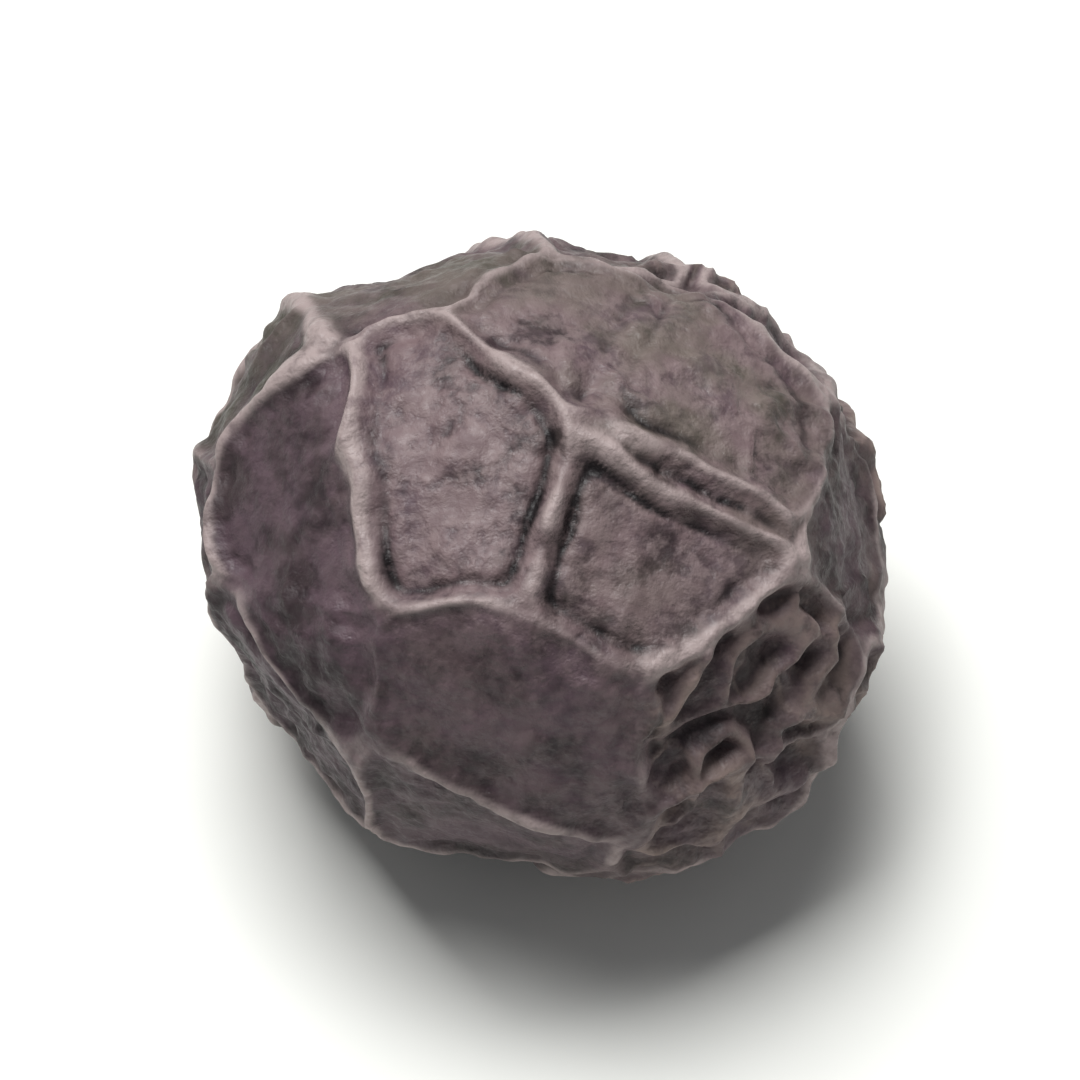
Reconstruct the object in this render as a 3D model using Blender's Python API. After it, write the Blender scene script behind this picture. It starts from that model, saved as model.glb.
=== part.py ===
"""Black peppercorn: one dried berry whose shrunken skin stands up in a raised net of wrinkles.

The berry is a round body worked out on a ball of unit radius. Cell centres are laid out over the ball,
the borders between the cells carry the crests of the net, a finer net crumples some of the cells, and
the berry is cut flat where it rests. Lengths inside the formulas are millimetres; the mesh is metres.
"""
import bmesh
import bpy
import numpy as np

# Driving dimensions, millimetres
BERRY_RADIUS = 2.65
STRETCH = np.array([1.035, 0.968, 0.968])
REST_DEPTH = 2.38
CREST_HEIGHT = 0.120
CREST_WIDTH = 0.081
TWIN_OFFSET = 0.16
GROOVE_PLACE = 0.15
GROOVE_WIDTH = 0.065
GROOVE_DEPTH = 0.050
FOLD_HEIGHT = 0.13
FOLD_WIDTH = 0.085
SCAR_RADIUS = 0.44
DRAW_REACH = 0.45

# Counts
CELL_COUNT = 39
FOLD_CELLS = 210
EDGE_CUTS = 22

# How sharply one cell of the net gives way to the next, and the share of its way to a crest that a point
# close to it is drawn in
NET_SHARPNESS = 75
FOLD_SHARPNESS = 140
DRAW_SHARE = 0.55

# The side that is seen at 60 degrees from above. Across and up are shares of its half width and half
# height, and the broad swells and hollows of its outline come as across, up, height in millimetres.
SEEN_HEIGHT = np.radians(60.0)
SWELLS = np.array([
    (-0.80, 0.60, 0.17),
    (0.82, 0.57, 0.08),
    (0.90, -0.43, 0.08),
    (0.52, -0.85, 0.19),
    (-0.05, -0.99, -0.20),
    (-0.85, -0.52, -0.28),
    (-0.30, 0.95, -0.04),
])

# Cells of that side, as across, up, reach, crumpling, level in millimetres and groove. Reach makes a cell
# wider or narrower than its neighbours.
SEEN_CELLS = np.array([
    (-0.18, 0.22, -0.02, 0.15, -0.045, 1.00),
    (0.30, 0.06, -0.02, 0.22, -0.055, 1.00),
    (0.20, 0.71, -0.05, 0.42, 0.020, 0.50),
    (0.48, 0.53, -0.02, 0.40, 0.020, 0.60),
    (-0.70, 0.04, -0.04, 0.10, 0.000, 0.30),
    (-0.23, -0.65, 0.04, 0.06, 0.020, 0.15),
    (0.69, -0.43, -0.02, 1.00, -0.050, 0.60),
    (0.97, 0.14, -0.03, 0.35, -0.020, 0.50),
    (0.62, -0.72, -0.03, 0.75, 0.000, 0.50),
    (-0.65, -0.52, 0.03, 0.30, 0.000, 0.40),
    (-0.39, 0.92, 0.02, 0.30, 0.000, 0.50),
    (-0.33, -0.78, 0.05, 0.30, 0.000, 0.50),
    (0.32, 0.89, -0.10, 0.30, -0.020, 0.60),
    (-0.68, -0.65, 0.05, 0.35, 0.000, 0.40),
    (0.78, 0.62, -0.08, 0.30, -0.020, 0.50),
])

# Borders of the seen side whose crest is set by eye, as cell, cell, strength
SEEN_BORDERS = (
    (0, 1, 0.70), (0, 2, 0.85), (0, 4, 1.20), (0, 5, 0.80), (0, 10, 0.75),
    (1, 3, 0.90), (1, 5, 0.80), (1, 6, 1.15), (1, 7, 1.10), (2, 3, 0.06),
    (2, 10, 0.65), (2, 12, 0.80), (3, 12, 0.80), (3, 14, 0.80), (12, 14, 0.30),
    (3, 7, 0.60), (6, 7, 0.70), (4, 10, 0.50), (4, 9, 0.20), (9, 13, 0.70),
    (5, 6, 0.45), (5, 8, 0.50), (5, 9, 0.30), (5, 11, 0.80), (6, 8, 0.50), (9, 11, 0.40),
)
SEEN_TWIN = (1, 3)

# Where the stalk broke off, a direction from the middle of the berry
SCAR_SIDE = (-0.72, 0.64, -0.27)


def unit(v):
    """Each vector divided by its own length."""
    return v / np.linalg.norm(v, axis=-1, keepdims=True)


def ease(low, high, x):
    """0 below low, 1 above high, and a smooth S between them."""
    t = np.clip((x - low) / (high - low), 0, 1)
    return t * t * (3 - 2 * t)


def wave(p, length, seed, terms=16):
    """Sum of sines in random directions over the ball, of about the given wavelength and of unit spread."""
    rng = np.random.default_rng(seed)
    turns = 2 * np.pi * BERRY_RADIUS / length
    k = unit(rng.normal(size=(terms, 3))) * turns * rng.uniform(0.7, 1.4, (terms, 1))
    phase = rng.uniform(0, 2 * np.pi, terms)
    return np.sin(p @ k.T + phase).sum(1) * np.sqrt(2 / terms)


def wander(p, length, seed):
    """Three waves as one vector for each point."""
    return np.stack([wave(p, length, seed + i) for i in range(3)], 1)


def seen(across, up):
    """Directions of points of the seen side, given as shares of its half width and half height."""
    near = np.sqrt(np.maximum(1 - across ** 2 - up ** 2, 0))
    sine, cosine = np.sin(SEEN_HEIGHT), np.cos(SEEN_HEIGHT)
    return unit(np.stack([across, up * sine - near * cosine, up * cosine + near * sine], -1))


def bent(p):
    """Points shifted over the ball by three sizes of wander, so that straight borders come out wavy.

    The longest wander is twice as strong on the hidden side.
    """
    long_share = 0.030 + 0.030 * ease(0.2, -0.5, p @ seen(0.0, 0.0))
    shift = long_share[..., None] * wander(p, 3.4, 20)
    return unit(p + shift + 0.013 * wander(p, 1.3, 30) + 0.004 * wander(p, 0.55, 40))


def swelling(p):
    """Height of the broad swells and hollows, each a bell curve of about a millimetre to every side."""
    return np.exp((p @ seen(SWELLS[:, 0], SWELLS[:, 1]).T - 1) / 0.10) @ SWELLS[:, 2]


def layout():
    """Cell centres, how far each reaches, and its traits: the seen cells, the rest spot, then hidden cells.

    Each hidden cell is the one of a few random directions that lies farthest from the cells before it.
    """
    rng = np.random.default_rng(5)
    centres = [*bent(seen(SEEN_CELLS[:, 0], SEEN_CELLS[:, 1])), np.array([0, 0, -1.0])]
    seen_side = seen(0.0, 0.0)
    while len(centres) < CELL_COUNT:
        tries = unit(rng.normal(size=(12, 3)))
        tries = tries[tries @ seen_side < 0.12]
        if len(tries):
            centres.append(tries[(tries @ np.array(centres).T).max(1).argmin()])
    hidden = CELL_COUNT - len(SEEN_CELLS) - 1
    hidden_traits = rng.uniform([0.15, -0.05, 0.1], [0.9, 0.04, 1.0], (hidden, 3))
    traits = np.vstack([SEEN_CELLS[:, 3:], [[0.0, 0.0, 0.3]], hidden_traits])
    reach = np.concatenate([SEEN_CELLS[:, 2], [0], rng.uniform(-0.02, 0.02, hidden)])
    return np.array(centres), reach, traits


def paired(count, low, high, seed):
    """A symmetric table with one random value for each border between two cells."""
    table = np.random.default_rng(seed).uniform(low, high, (count, count))
    table = (table + table.T) / 2
    np.fill_diagonal(table, 0)
    return table


def between(pull, table):
    """The table's value for the border that a point is nearest to, blended where borders meet."""
    pairs = pull.sum(1) ** 2 - (pull ** 2).sum(1)
    return ((pull @ table) * pull).sum(1) / np.maximum(pairs, 1e-30)


def borders(q, centres, reach, sharpness):
    """Distance to the nearest border in millimetres, direction away from it, and every cell's pull.

    Every cell pulls by exp(sharpness * closeness). The log of the sum of the other cells' pull against
    the own cell's, divided by how far their centres lie from its own, is the distance. The direction
    has unit length beside one border and fades to nothing where opposite borders pull alike.
    """
    spans = np.linalg.norm(centres[:, None] - centres, axis=2)
    closeness = q @ centres.T + reach
    pull = np.exp(sharpness * (closeness - closeness.max(1, keepdims=True)))
    own = closeness.argmax(1)
    others = pull.copy()
    others[np.arange(len(q)), own] = 0
    total = np.maximum(others.sum(1), 1e-30)
    span = (others * spans[own]).sum(1) / total
    distance = np.maximum(-np.log(total) / sharpness, 0) / span * BERRY_RADIUS
    across = (centres[own] - (others @ centres) / total[:, None]) / span[:, None]
    return distance, across - (across * q).sum(1, keepdims=True) * q, pull


def crest_net(p):
    """Everything that the net decides at points p: where the borders run and what stands on them."""
    centres, reach, traits = layout()
    q = bent(p)
    distance, away, pull = borders(q, centres, reach, NET_SHARPNESS)
    share = np.sqrt(pull) / np.sqrt(pull).sum(1, keepdims=True)
    power = paired(CELL_COUNT, 0.45, 1.2, 11)
    for i, k, strength in SEEN_BORDERS:
        power[i, k] = power[k, i] = strength
    twins = (paired(CELL_COUNT, 0, 1, 12) > 0.74) * 1.0
    twins[:len(SEEN_CELLS), :len(SEEN_CELLS)] = 0
    twins[SEEN_TWIN] = twins[SEEN_TWIN[::-1]] = 1
    meeting = np.sort(pull, 1)[:, -3]
    return {
        "rise": 1 / np.clip((q @ centres.T).max(1), 0.5, 1) - 1,
        "traits": (share @ traits).T,
        "distance": distance,
        "away": away,
        "border_point": unit(q - away * (distance / BERRY_RADIUS)[:, None]),
        "meeting": meeting,
        "strength": between(pull, power),
        "twin": between(np.sqrt(pull), twins),
    }


def fold_net(q, cells, sharpness, width, seed):
    """Folds along the borders of a small random net, kept on half of them, from 0 to 1 on their tops."""
    rng = np.random.default_rng(seed)
    distance, _, pull = borders(q, unit(rng.normal(size=(cells, 3))), 0, sharpness)
    kept = ease(0.40, 0.60, pull @ rng.uniform(0, 1, cells) / pull.sum(1))
    return np.exp(-(distance / width) ** 2) * kept


def drawn_in(p):
    """Points slid towards the nearest border, so that more of them lie on the crests than between them.

    The slide is DRAW_SHARE of the distance close to a border and dies out over DRAW_REACH.
    """
    net = crest_net(p)
    slide = DRAW_SHARE * net["distance"] * np.exp(-(net["distance"] / DRAW_REACH) ** 2)
    return unit(p - net["away"] * (slide / BERRY_RADIUS)[:, None])


def positions(bm):
    """The mesh's points as unit directions."""
    return unit(np.array([vert.co[:] for vert in bm.verts]))


def move(bm, points):
    """Puts every point of the mesh at its new place."""
    for vert, place in zip(bm.verts, points):
        vert.co = place


def skin(p):
    """Surface points in millimetres for points p of the unit ball."""
    net = crest_net(p)
    distance, strength, meeting = net["distance"], net["strength"], net["meeting"]
    crumpling, level, groove = net["traits"]

    # Body: a ball whose cells are partly flattened, with its broad swells
    facet = 1 - np.exp(-net["rise"] / 0.10)
    radius = BERRY_RADIUS * (0.95 + 0.070 * facet) + level + swelling(p)

    # Net: a crest on each border, doubled on some, with a groove at its foot and between twins
    offset = TWIN_OFFSET * net["twin"]
    width = CREST_WIDTH * np.clip(1 + 0.3 * wave(p, 1.1, 61), 0.7, 1.5)
    width *= (0.3 + 0.7 * strength) * (1 + 0.5 * meeting)
    crest = np.exp(-((distance - offset) / width) ** 2)
    foot = np.exp(-(distance / 0.30) ** 1.3)
    border_point = net["border_point"]
    groove = groove * np.clip(0.95 + 0.35 * wave(border_point, 0.9, 66), 0.3, 1.4)
    dip = groove * np.exp(-((distance - offset - GROOVE_PLACE) / GROOVE_WIDTH) ** 2)
    dip = np.maximum(dip, net["twin"] * np.exp(-(distance / GROOVE_WIDTH) ** 2))
    uneven = np.clip(1 + 0.20 * wave(border_point, 0.9, 62) + 0.03 * wave(border_point, 0.3, 63), 0.6, 1.3)
    height = CREST_HEIGHT * strength * uneven * (1 - 0.4 * meeting)
    height *= ease(-0.93, -0.72, p[:, 2])
    radius += height * (0.70 * crest + 0.42 * foot) - GROOVE_DEPTH * dip

    # Pleats: small folds that run down from the crests into the cells
    pleat = wave(border_point, 0.48, 64) * ease(0.50, 0.06, distance)
    radius += (0.011 + 0.010 * crumpling) * pleat * (1 - 0.7 * crest)

    # Folds and gathers: a finer, broken net inside the crumpled cells, and ridges where a wave crosses zero
    q = unit(p + 0.035 * wander(p, 1.2, 70) + 0.012 * wander(p, 0.45, 80))
    fold = fold_net(q, FOLD_CELLS, FOLD_SHARPNESS, FOLD_WIDTH, 7) * ease(0.08, 0.8, crumpling)
    gather = np.exp(-(wave(q, 0.80, 90) / 0.50) ** 2) * ease(0.45, 0.95, crumpling)
    fold = np.maximum(0.9 * fold, 0.65 * gather)
    pit = ease(0.30, 1.0, crumpling) * ease(0.60, 0.0, fold + crest)
    radius += FOLD_HEIGHT * fold * (1 - crest) - 0.06 * pit
    radius += 0.010 * wave(p, 0.8, 95) + (0.007 + 0.009 * crumpling) * wave(p, 0.42, 96)

    # Stalk scar: a low plug with a puckered rim round it
    from_scar = np.arccos(np.clip(p @ unit(np.array(SCAR_SIDE)), -1, 1)) * BERRY_RADIUS
    plug = BERRY_RADIUS * 0.985 + 0.014 * wave(p, 0.30, 120) + 0.03 * np.exp(-(from_scar / 0.20) ** 2)
    radius += (plug - radius) * ease(SCAR_RADIUS, SCAR_RADIUS - 0.22, from_scar)
    rim = np.exp(-((from_scar - SCAR_RADIUS) / 0.12) ** 2)
    radius += 0.05 * rim * (1 + 0.35 * wave(p, 0.45, 121))
    return radius[:, None] * p * STRETCH


def rested(points):
    """The berry cut flat at the rest depth, with the flat at height zero and its middle over the origin."""
    points[:, 2] = np.maximum(points[:, 2] + REST_DEPTH, 0)
    points[:, :2] -= (points[:, :2].max(0) + points[:, :2].min(0)) / 2
    return points


for old in list(bpy.data.objects):
    bpy.data.objects.remove(old)

# Berry: a ball of triangles, drawn in to the crests, whose points are set on the skin
bm = bmesh.new()
bmesh.ops.create_icosphere(bm, subdivisions=1, radius=1.0)
bmesh.ops.subdivide_edges(bm, edges=bm.edges[:], cuts=EDGE_CUTS, use_grid_fill=True)
move(bm, rested(skin(drawn_in(positions(bm)))) * 0.001)
bmesh.ops.recalc_face_normals(bm, faces=bm.faces[:])
mesh = bpy.data.meshes.new("peppercorn")
bm.to_mesh(mesh)
bm.free()
mesh.shade_smooth()
peppercorn = bpy.data.objects.new("peppercorn", mesh)

# Dried skin: matt, purplish brown black
dried_skin = bpy.data.materials.new("dried skin")
dried_skin.use_nodes = True
shader = dried_skin.node_tree.nodes["Principled BSDF"]
shader.inputs["Base Color"].default_value = (0.085, 0.062, 0.062, 1.0)
shader.inputs["Roughness"].default_value = 0.55
shader.inputs["Metallic"].default_value = 0.0
mesh.materials.append(dried_skin)

collection = bpy.data.collections.new("black peppercorn")
bpy.context.scene.collection.children.link(collection)
collection.objects.link(peppercorn)
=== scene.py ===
import bpy
import numpy as np
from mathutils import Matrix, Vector


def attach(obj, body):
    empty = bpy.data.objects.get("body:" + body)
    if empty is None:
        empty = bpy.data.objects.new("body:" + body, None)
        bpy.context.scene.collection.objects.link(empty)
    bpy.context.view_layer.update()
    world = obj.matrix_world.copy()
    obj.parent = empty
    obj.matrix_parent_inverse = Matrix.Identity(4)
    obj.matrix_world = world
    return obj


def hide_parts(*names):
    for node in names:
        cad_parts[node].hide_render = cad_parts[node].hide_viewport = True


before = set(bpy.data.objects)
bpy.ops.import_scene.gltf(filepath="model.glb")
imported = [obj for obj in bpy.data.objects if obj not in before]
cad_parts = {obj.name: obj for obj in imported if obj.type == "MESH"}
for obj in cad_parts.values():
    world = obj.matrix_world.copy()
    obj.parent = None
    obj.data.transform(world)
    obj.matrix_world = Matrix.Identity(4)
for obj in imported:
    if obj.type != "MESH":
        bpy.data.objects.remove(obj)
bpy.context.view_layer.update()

# Peppercorn, overall form
# An unripe pepper berry picked green and dried in the sun. The flesh shrinks onto the hard seed and the
# skin is left too large for it, so it folds up into a net. Lengths are in millimetres, and each point
# of the skin is a direction from the middle of the berry times a radius.
MM = 0.001
BERRY_RADIUS = 2.65
STRETCH = np.array([1.035, 0.968, 0.968])
REST_DEPTH = 2.38  # from the middle down to the flat that it rests on
SEEN_HEIGHT = np.radians(60.0)  # of the camera above level
WAVINESS = ((0.030, 3.4, 20), (0.013, 1.3, 30), (0.004, 0.55, 40))  # share of the radius, wavelength, seed
SWELL_SPREAD = 0.10
SWELLS = np.array([  # across, up, height
    (-0.80, 0.60, 0.17),
    (0.82, 0.57, 0.08),
    (0.90, -0.43, 0.08),
    (0.52, -0.85, 0.19),
    (-0.05, -0.99, -0.20),
    (-0.85, -0.52, -0.28),
    (-0.30, 0.95, -0.04),
])


def unit(v):
    """Each vector divided by its own length."""
    return v / np.linalg.norm(v, axis=-1, keepdims=True)


def ease(low, high, x):
    """0 below low, 1 above high, and the S curve 3t^2 - 2t^3 between them."""
    t = np.clip((x - low) / (high - low), 0, 1)
    return t * t * (3 - 2 * t)


def wave(p, length, seed, terms=16):
    """Sum of sines sin(k.p + phase) in random directions, all near one wavelength, of unit spread."""
    rng = np.random.default_rng(seed)
    turns = 2 * np.pi * BERRY_RADIUS / length
    k = unit(rng.normal(size=(terms, 3))) * turns * rng.uniform(0.7, 1.4, (terms, 1))
    phase = rng.uniform(0, 2 * np.pi, terms)
    return np.sin(p @ k.T + phase).sum(1) * np.sqrt(2 / terms)


def wander(p, length, seed):
    """Three waves, with seeds that follow on one another, as one vector for each point."""
    return np.stack([wave(p, length, seed + i) for i in range(3)], 1)


def seen(across, up):
    """Directions of points on the camera's side, given as shares of its half width and half height."""
    near = np.sqrt(np.maximum(1 - across ** 2 - up ** 2, 0))
    sine, cosine = np.sin(SEEN_HEIGHT), np.cos(SEEN_HEIGHT)
    return unit(np.stack([across, up * sine - near * cosine, up * cosine + near * sine], -1))


def bent(p):
    """Directions shifted over the ball by three sizes of wander, so that straight borders come out wavy.

    The longest wander is twice as strong on the hidden side.
    """
    hidden = ease(0.2, -0.5, p @ seen(0.0, 0.0))[..., None]
    long, middling, short = (share * wander(p, length, seed) for share, length, seed in WAVINESS)
    return unit(p + (1 + hidden) * long + middling + short)


def swelling(p):
    """Broad swells and hollows, each its height times exp(-(1 - cosine of the angle to it) / spread)."""
    return np.exp((p @ seen(SWELLS[:, 0], SWELLS[:, 1]).T - 1) / SWELL_SPREAD) @ SWELLS[:, 2]


def berry_grid(steps):
    """Directions over the whole ball, as six square grids of two parameters, and the quads between them.

    On each side of a cube the parameters a and b run from -45 to 45 degrees; (tan a, tan b, 1) is turned
    to that side and divided by its length. Points shared by neighbouring sides are merged.
    """
    a, b = np.meshgrid(*[np.tan(np.linspace(-np.pi / 4, np.pi / 4, steps + 1))] * 2, indexing="ij")
    one = np.ones_like(a)
    sides = [(a, b, one), (b, a, -one), (one, a, b), (-one, b, a), (b, one, a), (a, -one, b)]
    points = unit(np.concatenate([np.stack(side, -1).reshape(-1, 3) for side in sides]))
    index = np.arange((steps + 1) ** 2).reshape(steps + 1, steps + 1)
    quad = np.stack([index[:-1, :-1], index[1:, :-1], index[1:, 1:], index[:-1, 1:]], -1).reshape(-1, 4)
    quads = np.concatenate([quad + i * index.size for i in range(6)])
    _, first, merged = np.unique(np.round(points, 6), axis=0, return_index=True, return_inverse=True)
    return points[first], merged.reshape(-1)[quads]


# Net of the skin
# Where the dried skin folds against itself it stands up in a thin crest, some of them with two lips, and
# the crests meet in threes round cells of flat or crumpled skin. Each cell has a centre on the ball.
CELL_COUNT = 39
NET_SHARPNESS = 75
SEEN_CELLS = np.array([  # across, up, reach, crumpling, level, groove
    (-0.18, 0.22, -0.02, 0.15, -0.045, 1.00),
    (0.30, 0.06, -0.02, 0.22, -0.055, 1.00),
    (0.20, 0.71, -0.05, 0.42, 0.020, 0.50),
    (0.48, 0.53, -0.02, 0.40, 0.020, 0.60),
    (-0.70, 0.04, -0.04, 0.10, 0.000, 0.30),
    (-0.23, -0.65, 0.04, 0.06, 0.020, 0.15),
    (0.69, -0.43, -0.02, 1.00, -0.050, 0.60),
    (0.97, 0.14, -0.03, 0.35, -0.020, 0.50),
    (0.62, -0.72, -0.03, 0.75, 0.000, 0.50),
    (-0.65, -0.52, 0.03, 0.30, 0.000, 0.40),
    (-0.39, 0.92, 0.02, 0.30, 0.000, 0.50),
    (-0.33, -0.78, 0.05, 0.30, 0.000, 0.50),
    (0.32, 0.89, -0.10, 0.30, -0.020, 0.60),
    (-0.68, -0.65, 0.05, 0.35, 0.000, 0.40),
    (0.78, 0.62, -0.08, 0.30, -0.020, 0.50),
])
SEEN_BORDERS = (  # cell, cell, strength of the crest between them
    (0, 1, 0.70), (0, 2, 0.85), (0, 4, 1.20), (0, 5, 0.80), (0, 10, 0.75),
    (1, 3, 0.90), (1, 5, 0.80), (1, 6, 1.15), (1, 7, 1.10), (2, 3, 0.06),
    (2, 10, 0.65), (2, 12, 0.80), (3, 12, 0.80), (3, 14, 0.80), (12, 14, 0.30),
    (3, 7, 0.60), (6, 7, 0.70), (4, 10, 0.50), (4, 9, 0.20), (9, 13, 0.70),
    (5, 6, 0.45), (5, 8, 0.50), (5, 9, 0.30), (5, 11, 0.80), (6, 8, 0.50), (9, 11, 0.40),
)
SEEN_TWIN = (1, 3)
CELL_FLOOR = 0.95  # radius in the middle of a cell, as a share of the ball's
CELL_RISE = 0.070  # the most that this share grows towards the borders
CELL_SPREAD = 0.10
CREST_HEIGHT = 0.120
CREST_WIDTH = 0.081
CREST_SHARE = 0.70  # of its height in the crest itself
FOOT_SHARE = 0.42  # of its height in the broad foot below it
FOOT_WIDTH = 0.30
TWIN_OFFSET = 0.16
TWIN_LIMIT = 0.74  # a hidden border has two lips where its random value is over this
GROOVE_PLACE = 0.15
GROOVE_WIDTH = 0.065
GROOVE_DEPTH = 0.050


def layout():
    """Cell centres, how far each reaches, and its traits: the seen cells, the rest spot, then hidden cells.

    Each hidden cell is the one of a few random directions that lies farthest from the cells before it.
    """
    rng = np.random.default_rng(5)
    centres = [*bent(seen(SEEN_CELLS[:, 0], SEEN_CELLS[:, 1])), np.array([0, 0, -1.0])]
    camera_side = seen(0.0, 0.0)
    while len(centres) < CELL_COUNT:
        tries = unit(rng.normal(size=(12, 3)))
        tries = tries[tries @ camera_side < 0.12]
        if len(tries):
            centres.append(tries[(tries @ np.array(centres).T).max(1).argmin()])
    hidden = CELL_COUNT - len(SEEN_CELLS) - 1
    hidden_traits = rng.uniform([0.15, -0.05, 0.1], [0.9, 0.04, 1.0], (hidden, 3))
    traits = np.vstack([SEEN_CELLS[:, 3:], [[0.0, 0.0, 0.3]], hidden_traits])
    reach = np.concatenate([SEEN_CELLS[:, 2], [0], rng.uniform(-0.02, 0.02, hidden)])
    return np.array(centres), reach, traits


def paired(count, low, high, seed):
    """A symmetric table with one random value, the mean of two draws, for each border of two cells."""
    table = np.random.default_rng(seed).uniform(low, high, (count, count))
    table = (table + table.T) / 2
    np.fill_diagonal(table, 0)
    return table


def between(pull, table):
    """The table's value for the border that a point is nearest to, blended where borders meet."""
    pairs = pull.sum(1) ** 2 - (pull ** 2).sum(1)
    return ((pull @ table) * pull).sum(1) / np.maximum(pairs, 1e-30)


def borders(q, centres, reach, sharpness):
    """Distance to the nearest border in millimetres, direction away from it, and every cell's pull.

    Every cell pulls by exp(sharpness * closeness). The log of the sum of the other cells' pull against
    the own cell's, divided by how far their centres lie from its own, is the distance. The direction
    has unit length beside one border and fades to nothing where opposite borders pull alike.
    """
    spans = np.linalg.norm(centres[:, None] - centres, axis=2)
    closeness = q @ centres.T + reach
    pull = np.exp(sharpness * (closeness - closeness.max(1, keepdims=True)))
    own = closeness.argmax(1)
    others = pull.copy()
    others[np.arange(len(q)), own] = 0
    total = np.maximum(others.sum(1), 1e-30)
    span = (others * spans[own]).sum(1) / total
    distance = np.maximum(-np.log(total) / sharpness, 0) / span * BERRY_RADIUS
    across = (centres[own] - (others @ centres) / total[:, None]) / span[:, None]
    return distance, across - (across * q).sum(1, keepdims=True) * q, pull


def net_relief(p):
    """The ball with its cells partly flattened and the crests on their borders, and what shows there.

    Radius = ball, lower in the middle of a cell + cell level + swells + crest and foot - groove.
    A crest falls off as exp(-(distance/width)^2), a twin crest peaks at an offset to each side of the
    border, and a foot falls off as exp(-(distance/width)^1.3). A groove is a bell curve beside the
    crest's foot or between the twins, and waves along the border make crests and grooves uneven.
    """
    centres, reach, traits = layout()
    q = bent(p)
    distance, away, pull = borders(q, centres, reach, NET_SHARPNESS)
    share = np.sqrt(pull) / np.sqrt(pull).sum(1, keepdims=True)
    crumpling, level, groove = (share @ traits).T
    power = paired(CELL_COUNT, 0.45, 1.2, 11)
    for i, k, strength in SEEN_BORDERS:
        power[i, k] = power[k, i] = strength
    twins = (paired(CELL_COUNT, 0, 1, 12) > TWIN_LIMIT) * 1.0
    twins[:len(SEEN_CELLS), :len(SEEN_CELLS)] = 0
    twins[SEEN_TWIN] = twins[SEEN_TWIN[::-1]] = 1
    strength = between(pull, power)
    meeting = np.sort(pull, 1)[:, -3]
    parted = between(np.sqrt(pull), twins)
    offset = TWIN_OFFSET * parted
    rise = 1 / np.clip((q @ centres.T).max(1), 0.5, 1) - 1
    radius = BERRY_RADIUS * (CELL_FLOOR + CELL_RISE * (1 - np.exp(-rise / CELL_SPREAD)))
    radius += level + swelling(p)
    width = CREST_WIDTH * np.clip(1 + 0.3 * wave(p, 1.1, 61), 0.7, 1.5)
    width *= (0.3 + 0.7 * strength) * (1 + 0.5 * meeting)
    crest = np.exp(-((distance - offset) / width) ** 2)
    foot = np.exp(-(distance / FOOT_WIDTH) ** 1.3)
    border_point = unit(q - away * (distance / BERRY_RADIUS)[:, None])
    groove = groove * np.clip(0.95 + 0.35 * wave(border_point, 0.9, 66), 0.3, 1.4)
    dip = groove * np.exp(-((distance - offset - GROOVE_PLACE) / GROOVE_WIDTH) ** 2)
    dip = np.maximum(dip, parted * np.exp(-(distance / GROOVE_WIDTH) ** 2))
    uneven = np.clip(1 + 0.20 * wave(border_point, 0.9, 62) + 0.03 * wave(border_point, 0.3, 63), 0.6, 1.3)
    height = CREST_HEIGHT * strength * uneven * (1 - 0.4 * meeting)
    height *= ease(-0.93, -0.72, p[:, 2])  # pressed down where the berry rests
    radius += height * (CREST_SHARE * crest + FOOT_SHARE * foot) - GROOVE_DEPTH * dip
    shows = {"crest": crest * np.clip(height / CREST_HEIGHT, 0, 1.2), "dip": dip, "crumpling": crumpling}
    return radius, shows, distance, border_point, share


# Wrinkles inside the cells
# Small pleats run down from each crest, and in the cells that dried unevenly the skin is crumpled into a
# finer, broken net. Both are folds of the same skin, a tenth of a millimetre wide.
FOLD_CELLS = 210
FOLD_SHARPNESS = 140
FOLD_WIDTH = 0.085
FOLD_HEIGHT = 0.13
TINY_CELLS = 520
TINY_SHARPNESS = 240
TINY_WIDTH = 0.050
PIT_DEPTH = 0.06
UNEVENNESS = {  # height where the skin lies flat, and how much more where it is crumpled
    "tiny fold": (0.020, 0.015),
    "pleat": (0.011, 0.010),
    "fine pleat": (0.005, 0.005),
    "dent": (0.010, 0.000),
    "ripple": (0.007, 0.009),
    "grain": (0.0035, 0.0030),
}


def fold_net(q, cells, sharpness, width, seed):
    """Folds exp(-(distance/width)^2) along the borders of a random net, left out on about half of them."""
    rng = np.random.default_rng(seed)
    distance, _, pull = borders(q, unit(rng.normal(size=(cells, 3))), 0, sharpness)
    kept = ease(0.40, 0.60, pull @ rng.uniform(0, 1, cells) / pull.sum(1))
    return np.exp(-(distance / width) ** 2) * kept


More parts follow.
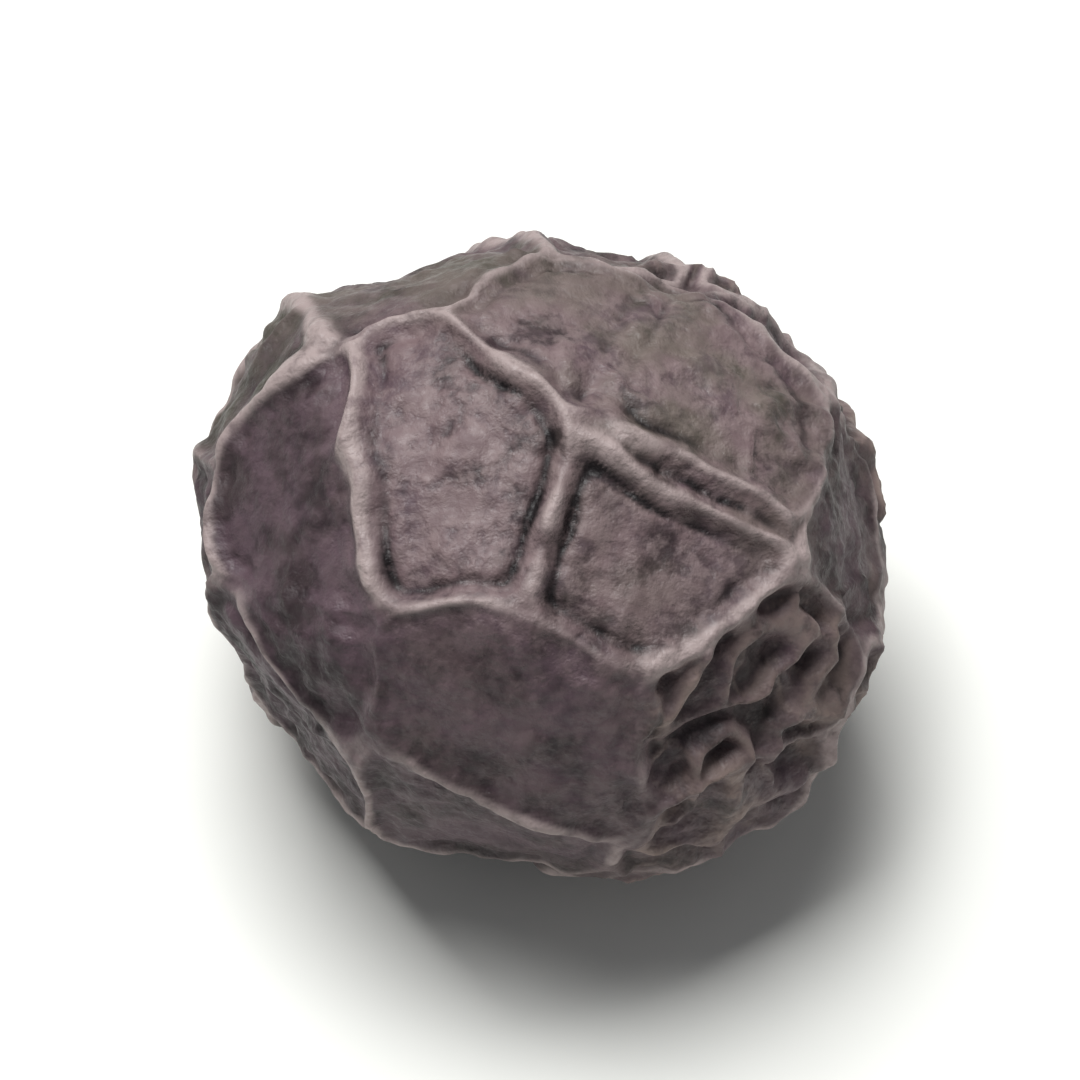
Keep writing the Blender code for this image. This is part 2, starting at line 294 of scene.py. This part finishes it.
def wrinkle_relief(p, shows, distance, border_point):
    """Height added by pleats, folds, pits between the folds, and grain.

    A pleat is a wave read at the nearest point of the border, so it runs straight away from the crest.
    A gather is a ridge exp(-(wave/0.5)^2) along the lines where a wave crosses zero, and the skin takes
    the higher of fold and gather. A pit is as deep as the skin there is crumpled and lacks a fold.
    """
    crumpling = shows["crumpling"]
    clear = 1 - shows["crest"]
    height = {name: flat + more * crumpling for name, (flat, more) in UNEVENNESS.items()}
    pleat = wave(border_point, 0.48, 64) * ease(0.50, 0.06, distance)
    fine_pleat = wave(border_point, 0.19, 65) * ease(0.45, 0.05, distance)
    q = unit(p + 0.035 * wander(p, 1.2, 70) + 0.012 * wander(p, 0.45, 80))
    fold = fold_net(q, FOLD_CELLS, FOLD_SHARPNESS, FOLD_WIDTH, 7) * ease(0.08, 0.8, crumpling)
    gather = np.exp(-(wave(q, 0.80, 90) / 0.50) ** 2) * ease(0.45, 0.95, crumpling)
    fold = np.maximum(0.9 * fold, 0.65 * gather)
    tiny_fold = fold_net(q, TINY_CELLS, TINY_SHARPNESS, TINY_WIDTH, 8) * ease(0.05, 0.7, crumpling)
    shows["fold"] = np.maximum(fold, 0.6 * tiny_fold) * clear
    pit = ease(0.30, 1.0, crumpling) * ease(0.60, 0.0, fold + shows["crest"])
    # Painted shade: the grooves beside the crests and the pits between folds are marked here to be darkened
    # in colour
    shows["hollow"] = np.maximum(shows["dip"], 0.75 * pit)
    relief = height["pleat"] * pleat * (1 - 0.7 * shows["crest"])
    relief += height["fine pleat"] * fine_pleat * clear
    relief += FOLD_HEIGHT * fold * clear + height["tiny fold"] * tiny_fold * clear - PIT_DEPTH * pit
    relief += height["dent"] * wave(p, 0.8, 95) + height["ripple"] * wave(p, 0.42, 96)
    return relief + height["grain"] * wave(p, 0.19, 97)


# Stalk scar
# The berry sat straight on its spike with no stalk of its own. Where it was stripped off there is a low
# plug of pale fibre with a puckered rim round it, on the side away from the camera.
SCAR_SIDE = (-0.72, 0.64, -0.27)
SCAR_RADIUS = 0.44
SCAR_SLOPE = 0.22
RIM_WIDTH = 0.12
RIM_HEIGHT = 0.05
PLUG_LEVEL = 0.985  # share of the ball's radius
PLUG_MIDDLE = 0.03


def scar_relief(p, radius, shows):
    """The radius with the scar in it: a plug with a raised middle, and a rim, both bell curves."""
    from_scar = np.arccos(np.clip(p @ unit(np.array(SCAR_SIDE)), -1, 1)) * BERRY_RADIUS
    plug = BERRY_RADIUS * PLUG_LEVEL + PLUG_MIDDLE * np.exp(-(from_scar / 0.20) ** 2)
    plug += 0.014 * wave(p, 0.30, 120)
    inside = ease(SCAR_RADIUS, SCAR_RADIUS - SCAR_SLOPE, from_scar)
    rim = np.exp(-((from_scar - SCAR_RADIUS) / RIM_WIDTH) ** 2)
    shows["scar"] = inside
    shows["crest"] = np.maximum(shows["crest"] * (1 - inside), 0.8 * rim)
    return radius + (plug - radius) * inside + RIM_HEIGHT * rim * (1 + 0.35 * wave(p, 0.45, 121))


# Dried skin
# Pepper skin dried in the sun: browned by its own enzymes to a purplish black, matt and faintly mottled,
# with crests rubbed pale and dusty, and painted shade darkening the grooves and pits. Its outer cells are
# about 0.03 mm across. The grain of them is drawn twice as coarse as that, because it wouldn't show
# otherwise.
def linear(hex_colour):
    """An sRGB hex colour as linear red, green, blue and alpha."""
    s = np.array([int(hex_colour[i:i + 2], 16) / 255 for i in (1, 3, 5)])
    return (*np.where(s <= 0.04045, s / 12.92, ((s + 0.055) / 1.055) ** 2.4), 1.0)


def node(tree, kind, inputs=(), links=(), **settings):
    """Adds a node, sets its properties, its inputs by name or number, and the links that come into it."""
    made = tree.nodes.new(kind)
    for name, value in settings.items():
        setattr(made, name, value)
    for name, value in dict(inputs).items():
        made.inputs[name].default_value = value
    for name, output in dict(links).items():
        tree.links.new(output, made.inputs[name])
    return made


dried_skin = bpy.data.materials.new("sun-dried pepper skin")
dried_skin.use_nodes = True
tree = dried_skin.node_tree
shader = tree.nodes["Principled BSDF"]
shader.inputs["Specular IOR Level"].default_value = 0.35
place = node(tree, "ShaderNodeTexCoord").outputs["Object"]

# Blotches in the skin, each a noise of its own size, from low to high in it spread from least to most.
# The grain runs from 0.44 to 0.68 because it is the roughness too.
BLOTCHES = (  # name, size in mm, low, high, least, most
    ("patch", 0.90, 0.36, 0.64, 0.00, 1.00),
    ("mottle", 0.55, 0.38, 0.60, 0.00, 1.00),
    ("dusting", 0.36, 0.37, 0.61, 0.15, 1.30),
    ("speck", 0.14, 0.40, 0.64, 0.00, 0.70),
    ("rubbed", 0.20, 0.32, 0.56, 0.40, 1.00),
    ("grain", 0.06, 0.30, 0.70, 0.44, 0.68),
)
blotches = {}
for name, size_mm, low, high, least, most in BLOTCHES:
    noise = node(tree, "ShaderNodeTexNoise", {"Scale": 1 / (size_mm * MM), "Detail": 4.0, "Roughness": 0.6},
                 {"Vector": place}).outputs["Fac"]
    blotches[name] = node(tree, "ShaderNodeMapRange",
                          {"From Min": low, "From Max": high, "To Min": least, "To Max": most},
                          {"Value": noise}, interpolation_type="SMOOTHSTEP").outputs["Result"]

# Colours laid over one another, each where the skin has that finish and the blotch lets it through; the
# near-black one in the grooves and pits is painted shade, not a finish of the skin
COATS = (  # finish, colour, blotch
    ("dust", "#6e5c5e", "dusting"),
    ("dust", "#837272", "speck"),
    ("olive", "#595748", "patch"),
    # Painted shade: near black laid into the grooves beside the crests and the pits of crumpled skin
    ("hollow", "#100a0c", "rubbed"),
    ("fold", "#86756f", "dusting"),
    ("crest", "#9b8c8a", "rubbed"),
    ("scar", "#5d5044", "rubbed"),
)
skin_colour = node(tree, "ShaderNodeMix", {6: linear("#23171c"), 7: linear("#4f3e46")},
                   {0: blotches["mottle"]}, data_type="RGBA").outputs[2]
for finish, colour, blotch in COATS:
    shown = node(tree, "ShaderNodeAttribute", attribute_name=finish).outputs["Fac"]
    amount = node(tree, "ShaderNodeMath", links={0: shown, 1: blotches[blotch]},
                  operation="MULTIPLY").outputs["Value"]
    skin_colour = node(tree, "ShaderNodeMix", {7: linear(colour)}, {0: amount, 6: skin_colour},
                       data_type="RGBA").outputs[2]
tree.links.new(skin_colour, shader.inputs["Base Color"])
tree.links.new(blotches["grain"], shader.inputs["Roughness"])

# Relief too fine for the mesh: unevenness under the dust, groups of shrunken outer cells, and grain
pits = node(tree, "ShaderNodeTexVoronoi", {"Scale": 1 / (0.11 * MM)}, {"Vector": place}).outputs["Distance"]
FINE_RELIEF = (  # height, strength, depth in mm
    (blotches["dusting"], 0.5, 0.022),
    (blotches["speck"], 0.4, 0.012),
    (pits, 0.4, 0.020),
    (blotches["grain"], 0.5, 0.020),
)
normal = {}
for height, strength, depth_mm in FINE_RELIEF:
    bump = node(tree, "ShaderNodeBump", {"Strength": strength, "Distance": depth_mm * MM},
                {"Height": height, **normal})
    normal = {"Normal": bump.outputs["Normal"]}
tree.links.new(normal["Normal"], shader.inputs["Normal"])

# Peppercorn, the finished piece
# One fruit, solid from skin to seed, shrunk and hardened as it dried. It takes the place of the whole
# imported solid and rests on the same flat.
GRID_STEPS = 128
DRAW_SHARE = 0.25
DRAW_REACH = 0.45
EVENING_SHARE = 0.5
EVENING_PASSES = 2
FINISHES = sorted({finish for finish, _, _ in COATS})
# The cells on the left and lower left get almost no dust, so they stay dark: painted shade on that side of
# the berry, over dust that otherwise varies from cell to cell.
SEEN_TONES = np.array([  # how dusty and how olive each seen cell dried
    (0.85, 0.05), (0.80, 0.20), (0.75, 0.40), (0.90, 0.55), (0.10, 0.00), (0.30, 0.00),
    (0.60, 0.15), (0.20, 0.10), (0.40, 0.20), (0.05, 0.00), (0.40, 0.50), (0.15, 0.10),
    (0.30, 0.20), (0.05, 0.00), (0.35, 0.10),
])


def drawn_in(p):
    """Directions moved towards the nearest border by a share of distance * exp(-(distance / reach)^2).

    This leaves more points on the crests and fewer in the middles of the cells.
    """
    centres, reach, _ = layout()
    distance, away, _ = borders(bent(p), centres, reach, NET_SHARPNESS)
    slide = DRAW_SHARE * distance * np.exp(-(distance / DRAW_REACH) ** 2)
    return unit(p - away * (slide / BERRY_RADIUS)[:, None])


def finished_skin(p):
    """Points of the skin in these directions, and how much of each finish shows there.

    Point = radius * direction * stretch, raised to stand on the floor and cut off flat there.
    """
    p = drawn_in(p)
    radius, shows, distance, border_point, share = net_relief(p)
    radius = scar_relief(p, radius + wrinkle_relief(p, shows, distance, border_point), shows)
    hidden = CELL_COUNT - len(SEEN_TONES)
    hidden_tones = np.random.default_rng(9).uniform([0.0, 0.0], [0.7, 0.5], (hidden, 2))
    shows["dust"], shows["olive"] = (share @ np.vstack([SEEN_TONES, hidden_tones])).T
    points = radius[:, None] * p * STRETCH
    points[:, 2] = np.maximum(points[:, 2] + REST_DEPTH, 0)
    for name, low, high in (("hollow", 0.3, 1.0), ("fold", 0.3, 0.95), ("crest", 0.30, 0.85)):
        shows[name] = ease(low, high, shows[name])
    return points, np.stack([shows[finish] for finish in FINISHES], 1)


def evened(points, quads):
    """Points moved part of the way to the mean of their neighbours where the skin is steep.

    The move grows from nothing at a slope of 37 degrees to the full share at 66. It takes off the teeth
    that a fold hardly wider than a grid square would show along its edge.
    """
    corner = quads.ravel()
    total = np.zeros_like(points)
    for turn in (1, -1):
        np.add.at(total, corner, points[np.roll(quads, turn, axis=1).ravel()])
    mean = total / (2 * np.bincount(corner))[:, None]
    a, b, c, d = points[quads.T]
    outward = unit(a + c - [0, 0, 2 * REST_DEPTH])
    facing = (unit(np.cross(c - a, d - b)) * outward).sum(1)
    steepest = np.ones(len(points))
    np.minimum.at(steepest, corner, np.repeat(facing, 4))
    return points + EVENING_SHARE * ease(0.8, 0.4, steepest)[:, None] * (mean - points)


# Worked out in 32 parts to save memory, because every point is measured against every fold
directions, quads = berry_grid(GRID_STEPS)
parts = [finished_skin(part) for part in np.array_split(directions, 32)]
points = np.concatenate([part[0] for part in parts])
finishes = np.concatenate([part[1] for part in parts])
for _ in range(EVENING_PASSES):
    points = evened(points, quads)
points[:, :2] -= (points[:, :2].max(0) + points[:, :2].min(0)) / 2

mesh = bpy.data.meshes.new("peppercorn_skin")
mesh.from_pydata(points * MM, [], quads.tolist())
mesh.shade_smooth()
for i, finish in enumerate(FINISHES):
    shown = mesh.attributes.new(finish, "FLOAT", "POINT")
    shown.data.foreach_set("value", finishes[:, i].astype(np.float32))
mesh.materials.append(dried_skin)
peppercorn_skin = bpy.data.objects.new("peppercorn_skin", mesh)
bpy.context.collection.objects.link(peppercorn_skin)
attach(peppercorn_skin, "root")
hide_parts("peppercorn")

# Table
# A sheet of matt white paper far wider than the berry. It has no sheen and no edge in view, so nothing
# but the berry and its shadow shows on it.
paper = bpy.data.materials.new("matt white paper")
paper.use_nodes = True
paper.node_tree.nodes["Principled BSDF"].inputs["Base Color"].default_value = linear("#f0f1ec")
paper.node_tree.nodes["Principled BSDF"].inputs["Roughness"].default_value = 0.9
half = 300 * MM
corners = [(-half, -half, 0), (half, -half, 0), (half, half, 0), (-half, half, 0)]
sheet = bpy.data.meshes.new("table")
sheet.from_pydata(corners, [], [(0, 1, 2, 3)])
sheet.materials.append(paper)
table = bpy.data.objects.new("table", sheet)
bpy.context.collection.objects.link(table)

# Light
# A large soft lamp above and a little behind throws the shadow towards the camera, and light from a
# pale room fills the shadow.
middle = Vector((0, 0, 2.6 * MM))


def aimed(thing, name, place):
    """Puts a lamp or camera at a place, looking at the middle of the berry."""
    made = bpy.data.objects.new(name, thing)
    made.location = place
    made.rotation_euler = (middle - made.location).to_track_quat("-Z", "Y").to_euler()
    bpy.context.collection.objects.link(made)
    return made


lamp = bpy.data.lights.new("soft lamp", "AREA")
lamp.size = 60 * MM
lamp.energy = 0.15
aimed(lamp, "soft lamp", Vector((-16, 26, 100)) * MM)
room = bpy.data.worlds.new("pale room")
room.use_nodes = True
room.node_tree.nodes["Background"].inputs["Color"].default_value = linear("#f2f5fa")
room.node_tree.nodes["Background"].inputs["Strength"].default_value = 0.19
bpy.context.scene.world = room
bpy.context.scene.view_settings.view_transform = "Standard"

# Camera
# Sixty degrees above level, the height that the berry was photographed from, through a long lens.
CAMERA_DISTANCE = 72 * MM
lens = bpy.data.cameras.new("camera")
lens.lens = 300
lens.clip_start = 1 * MM
away_from_berry = Vector((0, -np.cos(SEEN_HEIGHT), np.sin(SEEN_HEIGHT)))
camera = aimed(lens, "camera", middle + away_from_berry * CAMERA_DISTANCE)
bpy.context.scene.camera = camera
